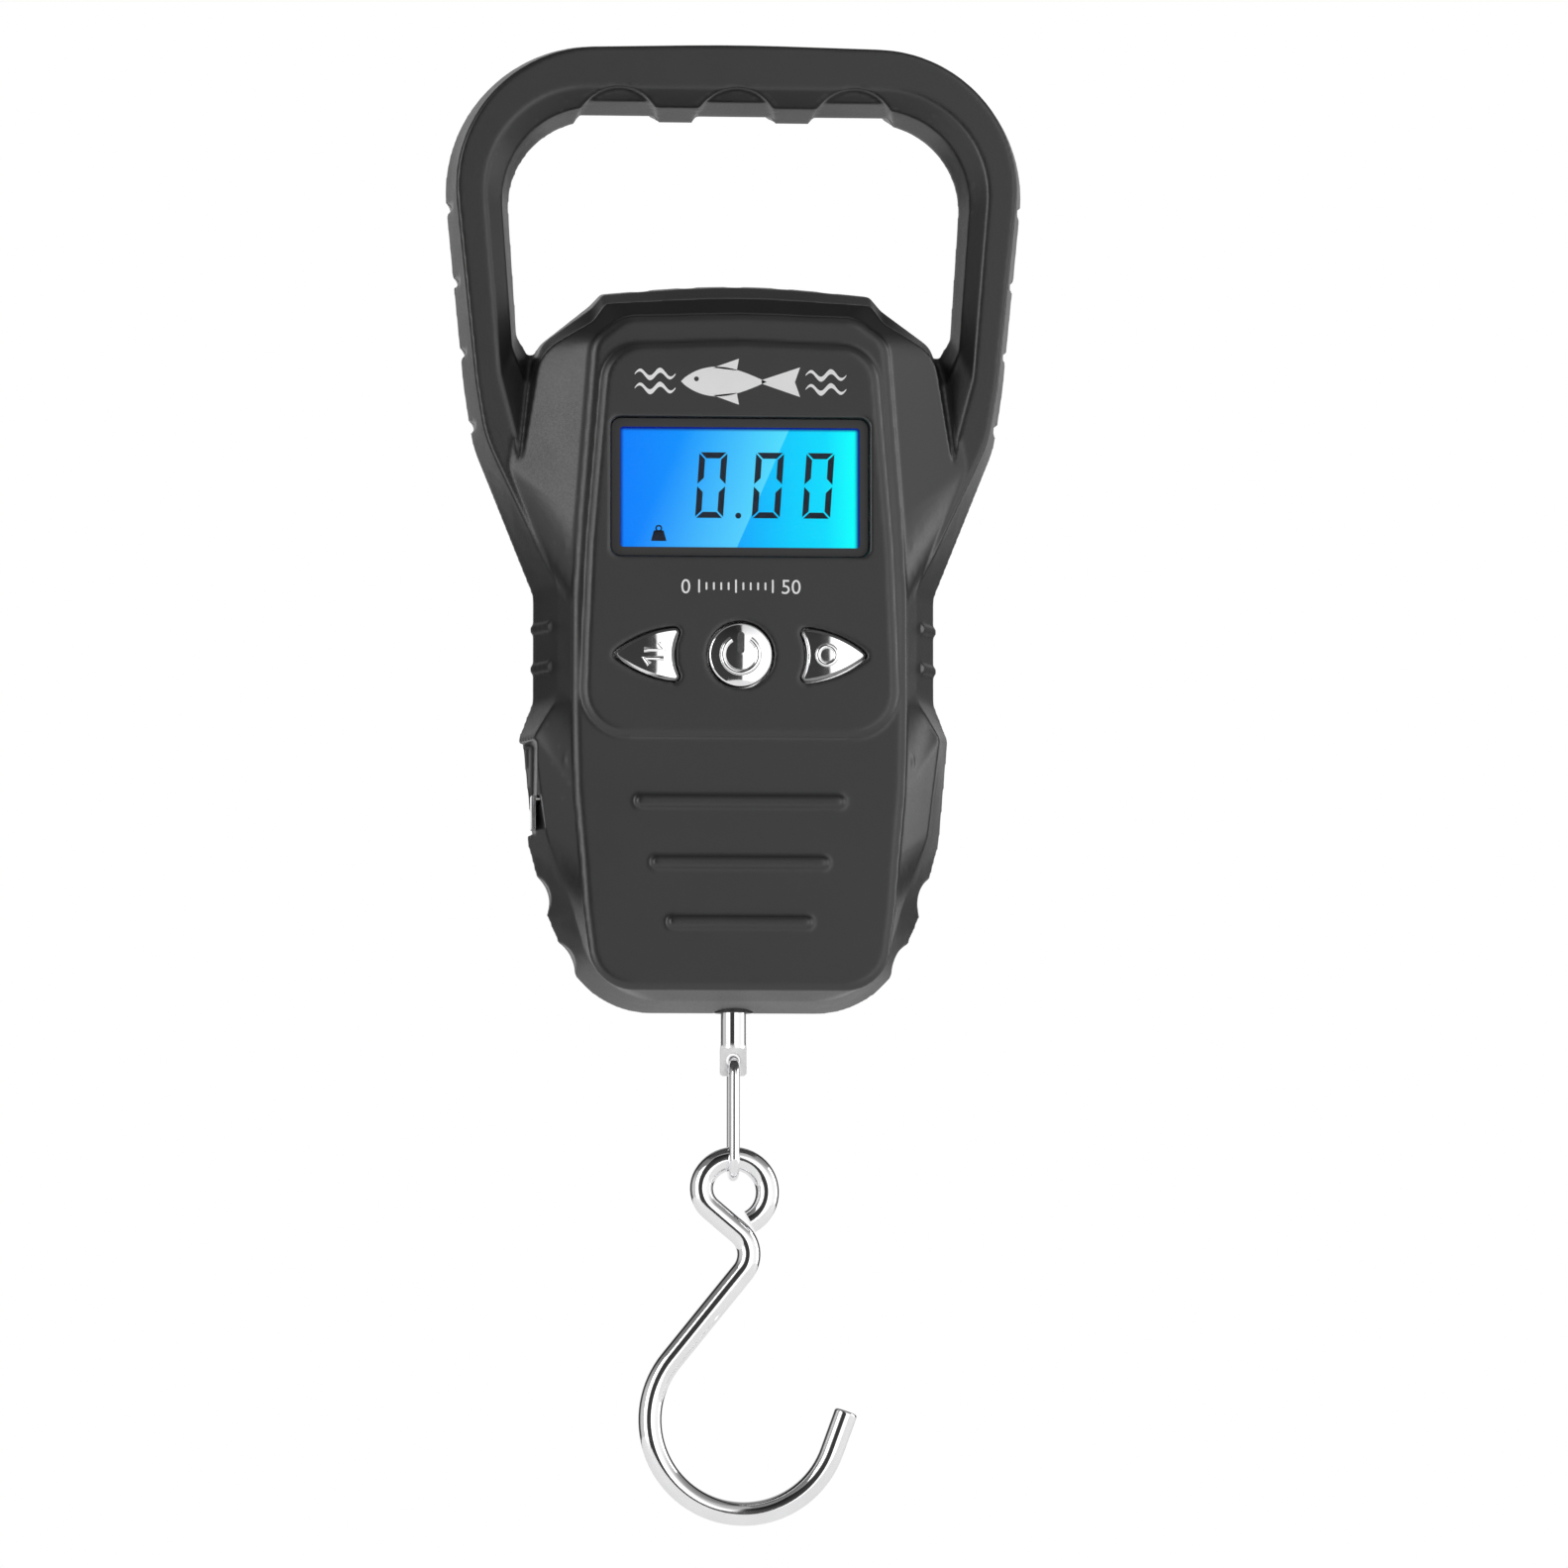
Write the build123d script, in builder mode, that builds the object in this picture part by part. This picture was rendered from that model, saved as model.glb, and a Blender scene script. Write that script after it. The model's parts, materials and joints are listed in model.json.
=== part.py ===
"""Digital fish scale: a two-part handle case with a lit display, three keys,
a spring-return tape measure in the left side and a wire hook on a swivel.

Millimetres, +Z up, +Y towards the back. The origin is the middle of the grip
bar's underside, where a hand or a line carries the scale.
"""
import math
import os

from build123d import *

os.makedirs("parts", exist_ok=True)

# ---------------------------------------------------------------- dimensions
GRIP_HEIGHT = 128.5  # grip underside above the bottom of the body
HANDLE_DEPTH = 8.0  # half depth of the handle and of the case's side band
FLARE_DEPTH = 8.6  # where the finger hole has reached its widest
FLARE_RISE = 4.6  # how far the grip's underside slopes up to there
FLARE_BEND = 5.4  # depth where that slope steepens
FLARE_SHARE = 0.3  # share of it reached by then
RIDGE_DEPTH = 12.9  # where the sloping side facets meet the front panel
PANEL_DEPTH = 13.7  # lower front panel
KEYPAD_DEPTH = 14.5  # raised display and key panel
BACK_RIDGE = 13.8
BACK_DEPTH = 15.0
FRONT_CAVITY = 11.6
BACK_CAVITY = 13.0
GROOVE_DEPTH = 3.8

RIB_HEIGHTS = (29.5, 20.8, 12.3)
RIB_LENGTHS = (29.6, 25.0, 20.4)
SIDE_NOTCHES = ((41.4, 115.6), (40.35, 104.9), (39.35, 94.7), (38.0, 84.1))
SCALLOPS = (-16.9, 0.0, 16.9)
SCALLOP_DEPTH = 0.85
SCALLOP_RADIUS = 6.5
WAIST_RIBS = (55.0, 49.3)
CREST_NOTCHES = (-13.6, -6.8, 0.0, 6.8, 13.6)
CREST_NOTCH_RADIUS = 1.5
CREST_TOP = 105.0  # top of the body under the finger hole
CREST_FALL = 0.0042  # drop of its arched top per square millimetre across
SIDE_BITES = ((30.3, 16.1), (26.7, 6.4))
SIDE_BITE_RADIUS = 4.0
PANEL_CHAMFER = (0.85, 0.45)  # across and deep
KEYPAD_CHAMFER = (0.7, 0.4)
RIB_WIDTH = 1.4

DISPLAY_HEIGHT = 74.35
WINDOW_SIZE = (36.8, 19.8)
WINDOW_DEPTH = 13.2
WINDOW_THICKNESS = 1.2
LCD_SIZE = (38.0, 23.0)
KEY_HEIGHT = 50.3
KEY_FRONT = 15.4
KEY_FLANGE = 11.4
KEY_GAP = 0.25
POWER_CROWN = 15.0  # radius of the round key's domed face
FIN_CROWN = 20.0
FIN_CROWN_X = 12.4
KEY_EDGE = 0.4
LEGEND_RISE = 0.2
POWER_RADIUS = 4.55
STEM_X = 12.0
BOARD_FRONT = 6.9
BOARD_BACK = 5.3
BOARD_SCREWS = [(17.0, 58.6), (17.0, 90.0)]

SCREW_RADIUS = 1.1
SCREW_HEAD = 1.8
SCREW_SEAT = 3.0  # case screw heads sit this far behind the parting plane
SCREW_REACH = 5.5
SCREW_PLACES = [(33.6, 130.0), (22.4, 66.5), (22.4, 35.4)]

CELL_RADIUS = 5.25  # AAA cell
CELL_BODY = 43.7
CELL_NUB = 0.8
CELL_X = 5.6
CELL_DEPTH = -7.1
BAY = (11.4, 49.6, 97.0)  # half width, bottom, top
BAY_WALL = 1.2
DOOR = (12.4, 48.7, 98.0)
DOOR_SEAT = -13.0
DOOR_GRIPS = (52.0, 54.0, 56.0)
CELL_END_PLAY = -1.0
SPRING_LENGTH = 1.9
SPRING_WIRE = 0.22

BEAM_HEIGHT = 39.5  # middle of the load cell beam
BEAM_SIZE = (36.0, 10.0, 6.0)
BEAM_SCREW_X = 15.0

ROD_RADIUS = 1.85
EYE_HEIGHT = -6.7
TONGUE_END = -8.9
EYE_HOLE = 1.05
EYE_THICKNESS = 2.0
BUSH_RADIUS = 2.7
BUSH_FLANGE = 3.9  # underside of its flange, inside the case

LINK_WIRE = 0.75
LINK_BEND = 2.75
LINK_TOP = -9.44  # centre of the upper bend
LINK_BOTTOM = -20.45  # centre of the lower bend

HOOK_WIRE = 1.7
HOOK_RING = (0.1, -25.5)
HOOK_RING_RADIUS = 4.8
HOOK_RING_START = -62
HOOK_RING_BEND = 150  # where the ring tightens towards the neck
HOOK_THROAT_RADIUS = 3.77
HOOK_RING_END = 229.6
HOOK_BOWL = (1.5, -58.0)
HOOK_BOWL_RADIUS = 13.4
HOOK_BOWL_START = 141
HOOK_BOWL_END = 340
HOOK_TIP = 6.2
HOOK_NECK_RADIUS = 4.0

REEL_X = 9.5
REEL_HEIGHT = 19.6
REEL_RADIUS = 12.0
REEL_FRONT = 7.2
REEL_BACK = 2.2
REEL_HUB = 6.9
REEL_CUP = 6.0
AXLE_RADIUS = 2.0
BLADE_HEIGHT = 30.1
BLADE_THICKNESS = 0.25
BLADE_EDGES = (6.4, 3.0)
COIL_RADIUS = 10.1
POCKET_X = 28.6  # flat floor of the tape's side recess
POCKET = (25.4, 38.6)
SPIRAL_STRIP = 0.3
SPIRAL_PITCH = 0.8
SPIRAL_HALF_TURNS = 8

# Case plane: x across, y up from the bottom of the body, normal to the front.
# Depths are measured from the parting plane, and are negative behind it.
CASE = Plane(origin=(0, 0, -GRIP_HEIGHT), x_dir=(1, 0, 0), z_dir=(0, -1, 0))
SIDE = Plane(origin=(0, 0, -GRIP_HEIGHT), x_dir=(0, 1, 0), z_dir=(1, 0, 0))


def level(height):
    """Horizontal plane at a height above the bottom of the body."""
    return Plane.XY.offset(height - GRIP_HEIGHT)


# ------------------------------------------------------------ case outlines
# Right-hand halves from the bottom centre to the top centre: x, height, corner
# radius. The outlines that one loft joins have the same number of corners.
CASE_EDGE = [
    (0, 0, 0), (20.8, 0, 13.5), (26.8, 14, 18), (29.6, 24.5, 10), (30.9, 39.3, 1.5),
    (28.9, 44.5, 4), (28.9, 59.8, 5), (37.6, 81.5, 20), (38.9, 90, 30),
    (43.7, 138.9, 21.5), (0, 139.9, 300),
]
CASE_CREASE = [
    (0, 1.4, 0), (19.6, 1.4, 11.5), (23.4, 14.4, 16), (27.2, 24.8, 9), (29.0, 39.0, 1.5),
    (25.7, 44.7, 4), (25.7, 60.2, 5), (36.1, 82.0, 20), (37.4, 90, 30),
    (42.4, 137.7, 20.2), (0, 138.7, 300),
]
FINGER_HOLE = [
    (0, CREST_TOP + 0.3, 120), (19.2, 103.5, 0.8), (20.8, 101.8, 1), (27.8, 96.2, 3),
    (29.3, 94.2, 0.6), (31.2, 97.4, 1.5), (33.3, GRIP_HEIGHT, 12.5),
]
FINGER_FLARE = [
    (0, 102.2, 120), (19.0, 101.0, 1.2), (20.8, 98.4, 1.2), (28.3, 94.0, 6),
    (31.1, 76.8, 0.4), (34.3, 89.5, 8), (38.0, GRIP_HEIGHT + FLARE_RISE, 15.5),
]
BODY_CREASE = CASE_CREASE[:7] + [(32.8, 77.8, 3), (29.6, 95.6, 6), (19.6, 103, 2), (0, 103.4, 0)]
BODY_RIDGE = [
    (0, 2.6, 0), (20.7, 2.6, 6.5), (22.2, 14, 20), (22.8, 22, 20), (23.6, 31, 20),
    (23.95, 44, 20), (23.9, 58, 20), (23.2, 70, 20), (21.2, 95.4, 4), (16.6, 98.8, 5), (0, 99.3, 0),
]
CAVITY_EDGE = [
    (0, 2.4, 0), (18.8, 2.4, 10), (24.2, 14, 12), (27.0, 24.5, 8), (28.2, 38.8, 1.5),
    (26.4, 44.2, 3), (26.4, 60.2, 4), (30.4, 70, 4), (27.4, 92, 4), (19.0, 99.4, 3), (0, 101.8, 0),
]
CAVITY_CREASE = [
    (0, 5.4, 0), (17.4, 5.4, 8), (21.2, 14.6, 12), (25.0, 25, 8), (26.6, 38.4, 1.5),
    (23.5, 44.4, 3), (23.5, 60.8, 4), (27.8, 73.4, 3), (26.0, 91.4, 4), (18.4, 96.4, 2), (0, 98.2, 0),
]
CAVITY_FLOOR = [
    (0, 5.0, 0), (17.6, 5.0, 5), (20.4, 14.4, 12), (22.0, 24.6, 8), (22.8, 36.8, 3),
    (22.2, 44.6, 3), (22.2, 60.4, 4), (22.4, 72.4, 4), (20.6, 90.0, 4), (17.4, 95.6, 2), (0, 96.4, 0),
]
KEYPAD = [
    (0, 38.8, 0), (22.6, 38.8, 6.5), (22.2, 52, 20), (21.6, 66, 20), (19.2, 94.5, 5.5), (0, 95.2, 0),
]
GRIP_GROOVE = [
    (37.8, 100, 0), (40.6, 136.0, 18), (-40.6, 136.0, 18), (-37.8, 100, 0),
    (-34.6, 100, 0), (-36.2, 132.2, 14), (36.2, 132.2, 14), (34.6, 100, 0),
]


def place(corners, depth):
    """Fill a rounded outline at a depth in front of the parting plane."""
    points = [(x, z) for x, z, r in corners]
    with BuildSketch(CASE.offset(depth)) as face:
        with BuildLine():
            FilletPolyline(*points, radius=[r for x, z, r in corners], close=True)
        make_face()
    return face.sketch


def between(first, last, share):
    """Outline part of the way from one to another that has as many corners."""
    return [[a + (b - a) * share for a, b in zip(*corners)] for corners in zip(first, last)]


def profile(half, depth):
    """Fill a symmetric outline, given its right-hand half."""
    return place(half + [(-x, z, r) for x, z, r in reversed(half) if x > 0], depth)


def block(x0, x1, z0, z1, front, back, radius=0.0):
    """Box from side to side and bottom to top, between two depths."""
    with BuildPart() as box:
        with BuildSketch(CASE.offset(back)):
            with Locations(((x0 + x1) / 2, (z0 + z1) / 2)):
                if radius:
                    RectangleRounded(x1 - x0, z1 - z0, radius)
                else:
                    Rectangle(x1 - x0, z1 - z0)
        extrude(amount=front - back)
    return box.part


def bar(x, z, radius, front, back):
    """Round bar along Y between two depths."""
    with BuildPart() as rod:
        with BuildSketch(CASE.offset(back)):
            with Locations((x, z)):
                Circle(radius)
        extrude(amount=front - back)
    return rod.part


def both_sides(places):
    """The given places and their mirror images about the middle plane."""
    return [(side * x, z) for x, z in places for side in (-1, 1)]


# ------------------------------------------------------------------ the case
def waist_rib(height, sign):
    """Pair of low ribs across the waist, one on each side wall."""
    with BuildPart() as ribs:
        with BuildSketch(level(height - 0.5)):
            with BuildLine():
                Polyline((26, 0), (29.3, 0), (26.9, -sign * 6), (24.4, -sign * 6), close=True)
            make_face()
            mirror(about=Plane.YZ)
        extrude(amount=1.0)
    return ribs.part


def scallop(x, sign):
    """Shallow finger rest in the sloping underside of the grip."""
    floor = GRIP_HEIGHT + SCALLOP_DEPTH
    low = GRIP_HEIGHT - SCALLOP_RADIUS
    bend = (-sign * FLARE_BEND, floor + FLARE_SHARE * FLARE_RISE)
    edge = -sign * FLARE_DEPTH
    with BuildPart() as tool:
        with BuildSketch(SIDE.offset(x - SCALLOP_RADIUS)):
            with BuildLine():
                Polyline((0, low), (0, floor), bend, (edge, floor + FLARE_RISE), (edge, low), close=True)
            make_face()
        extrude(amount=2 * SCALLOP_RADIUS)
        add(bar(x, GRIP_HEIGHT - 2.5, SCALLOP_RADIUS, sign * FLARE_DEPTH, 0), mode=Mode.INTERSECT)
    return tool.part


def case_shell(sign, ridge, depth, floor):
    """Outer form, cavity and finger hole of one half; sign is +1 at the front."""
    crease = sign * HANDLE_DEPTH
    flare = sign * FLARE_DEPTH
    with BuildPart() as shell:
        loft([profile(CASE_EDGE, 0), profile(CASE_CREASE, crease)], ruled=True)
        loft([profile(BODY_CREASE, crease), profile(BODY_RIDGE, sign * ridge)], ruled=True)
        extrude(profile(BODY_RIDGE, sign * ridge), amount=sign * (depth - ridge))
        bend = profile(between(FINGER_HOLE, FINGER_FLARE, FLARE_SHARE), sign * FLARE_BEND)
        loft([profile(FINGER_HOLE, 0), bend], ruled=True, mode=Mode.SUBTRACT)
        loft([bend, profile(FINGER_FLARE, flare)], ruled=True, mode=Mode.SUBTRACT)
        extrude(profile(FINGER_FLARE, flare), amount=sign * 12, mode=Mode.SUBTRACT)
        loft([profile(CAVITY_EDGE, 0), profile(CAVITY_CREASE, crease)], ruled=True, mode=Mode.SUBTRACT)
        back_wall = profile(CAVITY_FLOOR, sign * floor)
        loft([profile(CAVITY_CREASE, crease), back_wall], ruled=True, mode=Mode.SUBTRACT)
        extrude(place(GRIP_GROOVE, 0), amount=sign * GROOVE_DEPTH, mode=Mode.SUBTRACT)
        for x, z in SIDE_NOTCHES:
            for side in (-1, 1):
                edge = sorted((side * (x - 0.8), side * (x + 2)))
                add(block(*edge, z - 0.65, z + 0.65, sign * 7, 0), mode=Mode.SUBTRACT)
        for x in CREST_NOTCHES:
            top = CREST_TOP - CREST_FALL * x * x
            add(bar(x, top + 0.7, CREST_NOTCH_RADIUS, sign * 12, 0), mode=Mode.SUBTRACT)
        for z in WAIST_RIBS:
            add(waist_rib(z, sign))
        for x in SCALLOPS:
            add(scallop(x, sign), mode=Mode.SUBTRACT)
        for x, z in both_sides(SIDE_BITES):
            add(bar(x, z, SIDE_BITE_RADIUS, sign * 12, 0), mode=Mode.SUBTRACT)
        add(block(-33, -POCKET_X, *POCKET, max(sign * 9.5, -3.2), 0), mode=Mode.SUBTRACT)
    return shell.part


def key_fin(side, grow, depth):
    """Fin-shaped key outline: a point outwards and a hollow inner edge."""
    inner, waist, bulge, tip = [side * x for x in (8.2 - grow, 9.5 - grow, 13.6, 18.2 + 1.5 * grow)]
    low, mid, high = KEY_HEIGHT - 3.85 - grow, KEY_HEIGHT, KEY_HEIGHT + 3.85 + grow
    with BuildSketch(CASE.offset(depth)) as fin:
        with BuildLine():
            ThreePointArc((inner, high), (bulge, high - 1.1), (tip, mid))
            ThreePointArc((tip, mid), (bulge, low + 1.1), (inner, low))
            ThreePointArc((inner, low), (waist, mid), (inner, high))
        make_face()
        fillet(fin.vertices(), 0.6 + grow)
    return fin.sketch


def power_disc(grow, depth):
    """Round key outline."""
    with BuildSketch(CASE.offset(depth)) as disc:
        with Locations((0, KEY_HEIGHT)):
            Circle(POWER_RADIUS + grow)
    return disc.sketch


def window_frame(grow, depth):
    """Display window outline."""
    with BuildSketch(CASE.offset(depth)) as frame:
        with Locations((0, DISPLAY_HEIGHT)):
            RectangleRounded(WINDOW_SIZE[0] + 2 * grow, WINDOW_SIZE[1] + 2 * grow, 1.4 + grow)
    return frame.sketch


def bevel_front(builder, size):
    """Chamfer the rim of the foremost face, by a length across it and a depth."""
    face = builder.faces().sort_by(Axis.Y)[0]
    chamfer(face.edges(), *size, reference=face)


def save(builder, label):
    """Label a finished piece and write its STEP file."""
    builder.part.label = label
    export_step(builder.part, f"parts/{label}.step")


with BuildPart() as front_case:
    add(case_shell(1, RIDGE_DEPTH, PANEL_DEPTH, FRONT_CAVITY))
    bevel_front(front_case, PANEL_CHAMFER)
    extrude(profile(KEYPAD, PANEL_DEPTH), amount=KEYPAD_DEPTH - PANEL_DEPTH)
    bevel_front(front_case, KEYPAD_CHAMFER)
    for height, length in zip(RIB_HEIGHTS, RIB_LENGTHS):
        with BuildSketch(CASE.offset(PANEL_DEPTH - 0.1)):
            with Locations((0, height)):
                SlotOverall(length, RIB_WIDTH)
        extrude(amount=0.7)
    extrude(window_frame(0.1, WINDOW_DEPTH - WINDOW_THICKNESS), amount=4, mode=Mode.SUBTRACT)
    extrude(window_frame(-1.1, FRONT_CAVITY - 1), amount=4, mode=Mode.SUBTRACT)
    extrude(power_disc(KEY_GAP, FRONT_CAVITY - 1), amount=5, mode=Mode.SUBTRACT)
    for side in (-1, 1):
        extrude(key_fin(side, KEY_GAP, FRONT_CAVITY - 1), amount=5, mode=Mode.SUBTRACT)
    for x, z in both_sides(SCREW_PLACES):
        solid_to = GROOVE_DEPTH + 0.3 if z > 100 else FRONT_CAVITY + 0.3
        add(bar(x, z, 2.6, solid_to, 0))
        add(bar(x, z, SCREW_RADIUS, SCREW_REACH + 0.3, 0), mode=Mode.SUBTRACT)
    for x, z in both_sides([(BEAM_SCREW_X, BEAM_HEIGHT)]):
        add(bar(x, z, 3.0, FRONT_CAVITY + 0.3, BEAM_SIZE[2] / 2))
        add(bar(x, z, SCREW_RADIUS, 9, BEAM_SIZE[2] / 2), mode=Mode.SUBTRACT)
    for x, z in both_sides(BOARD_SCREWS):
        add(bar(x, z, 1.7, FRONT_CAVITY + 0.3, BOARD_FRONT))
        add(bar(x, z, 0.8, FRONT_CAVITY - 1, BOARD_FRONT), mode=Mode.SUBTRACT)
    add(bar(REEL_X, REEL_HEIGHT, 3.5, FRONT_CAVITY + 0.3, REEL_FRONT + 0.2))
    add(bar(REEL_X, REEL_HEIGHT, SCREW_RADIUS, FRONT_CAVITY + 0.6, REEL_FRONT), mode=Mode.SUBTRACT)
    slot = (BLADE_EDGES[0] + 0.3, BLADE_EDGES[1] - 0.3)
    add(block(-32, -22, BLADE_HEIGHT - 0.5, BLADE_HEIGHT + 0.5, *slot), mode=Mode.SUBTRACT)
    with BuildSketch(level(-2)):
        Circle(BUSH_RADIUS)
    extrude(amount=9, mode=Mode.SUBTRACT)
save(front_case, "front_case")

with BuildPart() as back_case:
    add(case_shell(-1, BACK_RIDGE, BACK_DEPTH, BACK_CAVITY))
    chamfer(back_case.edges().group_by(Axis.Y)[-1], 0.8)
    half, low, high = BAY
    add(block(-half - BAY_WALL, half + BAY_WALL, low - BAY_WALL, high + BAY_WALL, -0.6, -14))
    add(block(-half, half, low, high, -1.6, -20), mode=Mode.SUBTRACT)
    half, low, high = DOOR
    gap = 0.1
    add(block(-half - gap, half + gap, low - gap, high + gap, DOOR_SEAT, -20), mode=Mode.SUBTRACT)
    for x, z in both_sides(SCREW_PLACES):
        add(bar(x, z, 2.6, 0, -GROOVE_DEPTH - 0.3 if z > 100 else -BACK_CAVITY - 0.3))
        add(bar(x, z, SCREW_RADIUS + 0.1, 0, -SCREW_SEAT), mode=Mode.SUBTRACT)
        add(bar(x, z, SCREW_HEAD + 0.15, -SCREW_SEAT, -20), mode=Mode.SUBTRACT)
    with BuildSketch(level(-2)):
        Circle(BUSH_RADIUS)
    extrude(amount=9, mode=Mode.SUBTRACT)
save(back_case, "back_case")

with BuildPart() as battery_door:
    add(block(-DOOR[0], DOOR[0], DOOR[1], DOOR[2], DOOR_SEAT, -BACK_DEPTH, 1.0))
    chamfer(battery_door.faces().sort_by(Axis.Y)[-1].edges(), 0.3)
    for z in DOOR_GRIPS:
        add(block(-6, 6, z, z + 0.9, -BACK_DEPTH + 0.5, -BACK_DEPTH - 1), mode=Mode.SUBTRACT)
save(battery_door, "battery_door")

with BuildPart() as case_screws:
    for x, z in both_sides(SCREW_PLACES):
        add(bar(x, z, SCREW_RADIUS, SCREW_REACH, -SCREW_SEAT))
        add(bar(x, z, SCREW_HEAD, -SCREW_SEAT, -SCREW_SEAT - 1.4))
        add(block(x - 1.1, x + 1.1, z - 0.2, z + 0.2, -SCREW_SEAT - 0.7, -6), mode=Mode.SUBTRACT)
        add(block(x - 0.2, x + 0.2, z - 1.1, z + 1.1, -SCREW_SEAT - 0.7, -6), mode=Mode.SUBTRACT)
save(case_screws, "case_screws")

# -------------------------------------------------------- display and board
with BuildPart() as display_window:
    extrude(window_frame(0, WINDOW_DEPTH - WINDOW_THICKNESS), amount=WINDOW_THICKNESS)
save(display_window, "display_window")


def display_layer(width, height, front, back):
    """Flat rectangular layer behind the window."""
    low = DISPLAY_HEIGHT - height / 2
    return block(-width / 2, width / 2, low, low + height, front, back)


with BuildPart() as lcd_panel:
    add(display_layer(*LCD_SIZE, 11.5, 9.5))
save(lcd_panel, "lcd_panel")

with BuildPart() as backlight:
    add(display_layer(36.0, 19.4, 9.4, BOARD_FRONT))
save(backlight, "backlight")

with BuildPart() as zebra_strip:
    add(block(-17.5, 17.5, DISPLAY_HEIGHT + 9.8, DISPLAY_HEIGHT + 11.4, 9.5, BOARD_FRONT))
save(zebra_strip, "zebra_strip")

with BuildPart() as main_board:
    add(block(-19, 19, 45.9, 93, BOARD_FRONT, BOARD_BACK))
    for x, z in both_sides(BOARD_SCREWS):
        add(bar(x, z, 0.9, BOARD_FRONT, BOARD_BACK), mode=Mode.SUBTRACT)
save(main_board, "main_board")

with BuildPart() as board_screws:
    for x, z in both_sides(BOARD_SCREWS):
        add(bar(x, z, 0.8, 10.4, BOARD_BACK))
        add(bar(x, z, 1.6, BOARD_BACK, BOARD_BACK - 1.0))
save(board_screws, "board_screws")

with BuildPart() as controller_chip:
    add(block(-4, 4, 62, 70, BOARD_BACK, BOARD_BACK - 1.2, 1.0))
save(controller_chip, "controller_chip")

with BuildPart() as tact_switches:
    for x in (-STEM_X, 0, STEM_X):
        low = KEY_HEIGHT - 2.2
        add(block(x - 2.2, x + 2.2, low, low + 4.4, BOARD_FRONT + 1.6, BOARD_FRONT))
        add(bar(x, KEY_HEIGHT, 1.1, 9.4, BOARD_FRONT + 1.6))
save(tact_switches, "tact_switches")


# ------------------------------------------------------------------- the keys
def crown(x, radius):
    """Ball that shapes the domed face of a key."""
    with BuildPart() as ball:
        with Locations((x, radius - KEY_FRONT, KEY_HEIGHT - GRIP_HEIGHT)):
            Sphere(radius)
    return ball.part


with BuildPart() as power_key:
    extrude(power_disc(0, KEY_FLANGE), amount=KEY_FRONT - KEY_FLANGE)
    add(crown(0, POWER_CROWN), mode=Mode.INTERSECT)
    fillet(power_key.faces().sort_by(Axis.Y)[0].edges(), KEY_EDGE)
    with BuildSketch(CASE.offset(KEY_FRONT - 2 * LEGEND_RISE)):
        with Locations((0, KEY_HEIGHT + 1.65)):
            SlotOverall(3.1, 1.0, rotation=90)
    extrude(amount=3 * LEGEND_RISE)
    extrude(power_disc(0.6, KEY_FLANGE), amount=-0.8)
    add(bar(0, KEY_HEIGHT, 1.5, KEY_FLANGE - 0.8, 10.0))
save(power_key, "power_key")


def fin_key(side):
    """Fin-shaped key with its flange and stem."""
    with BuildPart() as key:
        extrude(key_fin(side, 0, KEY_FLANGE), amount=KEY_FRONT - KEY_FLANGE)
        add(crown(side * FIN_CROWN_X, FIN_CROWN), mode=Mode.INTERSECT)
        chamfer(key.faces().sort_by(Axis.Y)[0].edges(), KEY_EDGE)
        extrude(key_fin(side, 0.6, KEY_FLANGE), amount=-0.8)
        add(bar(side * STEM_X, KEY_HEIGHT, 1.5, KEY_FLANGE - 0.8, 10.0))
    return key.part


with BuildPart() as unit_key:
    add(fin_key(-1))
save(unit_key, "unit_key")

with BuildPart() as tare_key:
    add(fin_key(1))
save(tare_key, "tare_key")


# ----------------------------------------------------------- cells and contacts
def plates(x):
    """Contact plates at both ends of one cell."""
    with BuildPart() as pair:
        for low in (BAY[1], BAY[2] - 0.4):
            add(block(x - 4.4, x + 4.4, low, low + 0.4, CELL_DEPTH + 4.4, CELL_DEPTH - 4.4))
    return pair.part


def cell(x, direction):
    """AAA cell; direction is +1 with its positive end up."""
    middle = (BAY[1] + BAY[2]) / 2 - direction * CELL_END_PLAY
    tail = middle - direction * (CELL_BODY + CELL_NUB) / 2 - GRIP_HEIGHT
    seat = Plane(origin=(x, -CELL_DEPTH, tail), z_dir=(0, 0, direction))
    with BuildPart() as can:
        with BuildSketch(seat):
            Circle(CELL_RADIUS)
        extrude(amount=CELL_BODY)
        fillet(can.edges().filter_by(GeomType.CIRCLE), 0.4)
        with BuildSketch(seat.offset(CELL_BODY)):
            Circle(1.9)
        extrude(amount=CELL_NUB)
    return can.part


def contact_spring(x, direction):
    """Coil spring that presses on one cell's flat end."""
    low = BAY[1] + 0.4 if direction > 0 else BAY[2] - 0.4 - SPRING_LENGTH
    foot = Plane(origin=(x, -CELL_DEPTH, low - GRIP_HEIGHT + SPRING_WIRE))
    with BuildPart() as coil:
        with BuildLine(foot):
            turns = Helix(pitch=0.62, height=SPRING_LENGTH - 2 * SPRING_WIRE, radius=2.6)
        with BuildSketch(Plane(origin=turns @ 0, z_dir=turns % 0)):
            Circle(SPRING_WIRE)
        sweep()
    return coil.part


with BuildPart() as cell_left:
    add(cell(-CELL_X, 1))
save(cell_left, "cell_left")

with BuildPart() as cell_right:
    add(cell(CELL_X, -1))
save(cell_right, "cell_right")

with BuildPart() as contact_plates:
    add(plates(-CELL_X))
    add(plates(CELL_X))
save(contact_plates, "contact_plates")

with BuildPart() as contact_springs:
    add(contact_spring(-CELL_X, 1))
    add(contact_spring(CELL_X, -1))
save(contact_springs, "contact_springs")


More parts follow.
